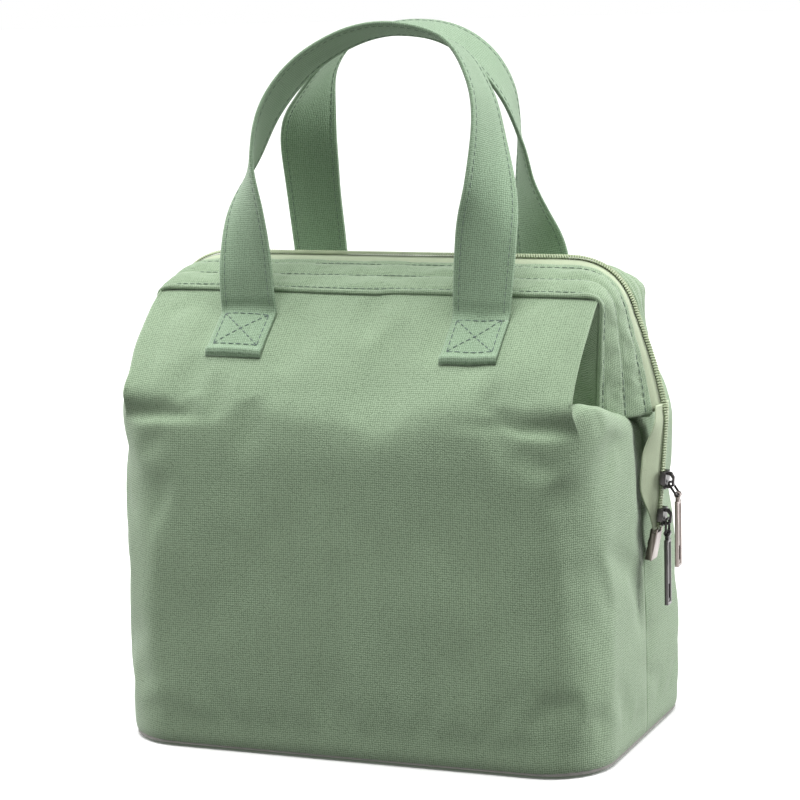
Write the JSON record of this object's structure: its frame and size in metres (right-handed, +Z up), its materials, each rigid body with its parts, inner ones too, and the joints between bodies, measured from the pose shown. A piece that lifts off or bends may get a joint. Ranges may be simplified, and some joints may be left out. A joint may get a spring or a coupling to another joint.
{
  "type": "insulated lunch bag",
  "caption": "Soft insulated lunch bag with a wire-framed zipped mouth that folds open, foil lining, zip tails with pulls and strap handles.",
  "frame": {"origin": "centre of the base, on the surface the bag stands on", "axes": "+Z up, -Y towards the front, +X towards the side with the zip pulls"},
  "size_m": [0.2808, 0.162, 0.3494],
  "materials": {
    "cloth": "sage green oxford weave",
    "strap": "sage green woven strap, double stitched",
    "zip_tape": "yellow-green woven tape",
    "zip_teeth": "yellow-green nylon coil",
    "foil": "silver coated film on foam",
    "foam": "closed-cell foam sheet",
    "board": "stiff plastic board",
    "wire": "spring wire",
    "wire_tip": "moulded tip",
    "gunmetal": "dark plated metal",
    "nickel": "pinkish nickel plate"
  },
  "bodies": {
    "bag": {"outer_wrap": "cloth", "base_cloth": "cloth", "base_board": "board", "foam_wrap": "foam", "foam_base": "foam", "foil_liner": "foil", "left_gusset": "cloth", "right_gusset": "cloth"},
    "front_frame": {"front_roof": "cloth", "front_roof_foam": "foam", "front_roof_foil": "foil", "front_band": "cloth", "front_band_lining": "foil", "front_wire": "wire", "front_wire_tips": "wire_tip", "front_zip_tape": "zip_tape", "front_zip_chain": "zip_teeth", "front_strap_ends": "strap"},
    "back_frame": {"back_roof": "cloth", "back_roof_foam": "foam", "back_roof_foil": "foil", "back_band": "cloth", "back_band_lining": "foil", "back_wire": "wire", "back_wire_tips": "wire_tip", "back_zip_tape": "zip_tape", "back_zip_chain": "zip_teeth", "back_strap_ends": "strap"},
    "front_loop": {"front_handle": "strap"},
    "back_loop": {"back_handle": "strap"},
    "upper_slide": {"upper_slider": "gunmetal"},
    "upper_link": {"upper_ring": "gunmetal"},
    "upper_pull": {"upper_tab": "nickel"},
    "lower_slide": {"lower_slider": "gunmetal"},
    "lower_link": {"lower_ring": "gunmetal"},
    "lower_pull": {"lower_tab": "nickel"},
    "right_tail": {"right_tail_tape": "zip_tape", "right_tail_chain": "zip_teeth", "right_tail_clip": "nickel"},
    "left_tail": {"left_tail_tape": "zip_tape", "left_tail_chain": "zip_teeth", "left_tail_clip": "nickel"}
  },
  "joints": [
    {"name": "front_opening", "type": "hinge", "parent": "bag", "child": "front_frame", "pos_m": [0, -0.081, 0.172], "axis": [1, 0, 0], "range_deg": [0, 45]},
    {"name": "back_opening", "type": "hinge", "parent": "bag", "child": "back_frame", "pos_m": [0, 0.081, 0.172], "axis": [-1, 0, 0], "range_deg": [0, 45]},
    {"name": "right_tail_lift", "type": "slide", "parent": "bag", "child": "right_tail", "axis": [0, 0, 1], "range_m": [0, 0.0571]},
    {"name": "left_tail_lift", "type": "slide", "parent": "bag", "child": "left_tail", "axis": [0, 0, 1], "range_m": [0, 0.0571]},
    {"name": "front_handle_swing", "type": "hinge", "parent": "front_frame", "child": "front_loop", "pos_m": [0, -0.0465, 0.2137], "axis": [1, 0, 0], "range_deg": [0, 120]},
    {"name": "back_handle_swing", "type": "hinge", "parent": "back_frame", "child": "back_loop", "pos_m": [0, 0.0465, 0.2137], "axis": [-1, 0, 0], "range_deg": [0, 120]},
    {"name": "upper_slider_travel", "type": "slide", "parent": "right_tail", "child": "upper_slide", "axis": [0.0785, 0, 0.9969], "range_m": [0, 0.024]},
    {"name": "upper_ring_swing", "type": "hinge", "parent": "upper_slide", "child": "upper_link", "pos_m": [0.13771, 0, 0.12766], "axis": [0, -1, 0], "range_deg": [0, 76]},
    {"name": "upper_tab_swing", "type": "hinge", "parent": "upper_link", "child": "upper_pull", "pos_m": [0.14162, 0, 0.12185], "axis": [0, -1, 0], "range_deg": [0, 60]},
    {"name": "lower_slider_travel", "type": "slide", "parent": "right_tail", "child": "lower_slide", "axis": [0.0785, 0, 0.9969], "range_m": [0, 0.006]},
    {"name": "lower_ring_swing", "type": "hinge", "parent": "lower_slide", "child": "lower_link", "pos_m": [0.13629, 0, 0.10971], "axis": [0, -1, 0], "range_deg": [0, 7]},
    {"name": "lower_tab_swing", "type": "hinge", "parent": "lower_link", "child": "lower_pull", "pos_m": [0.13629, 0, 0.10271], "axis": [0, -1, 0], "range_deg": [0, 10]}
  ],
  "couplings": [
    {"joint": "back_opening", "follows": "front_opening", "ratio": 1},
    {"joint": "right_tail_lift", "follows": "front_opening", "m_per_rad": 0.0726},
    {"joint": "left_tail_lift", "follows": "front_opening", "m_per_rad": 0.0726}
  ]
}
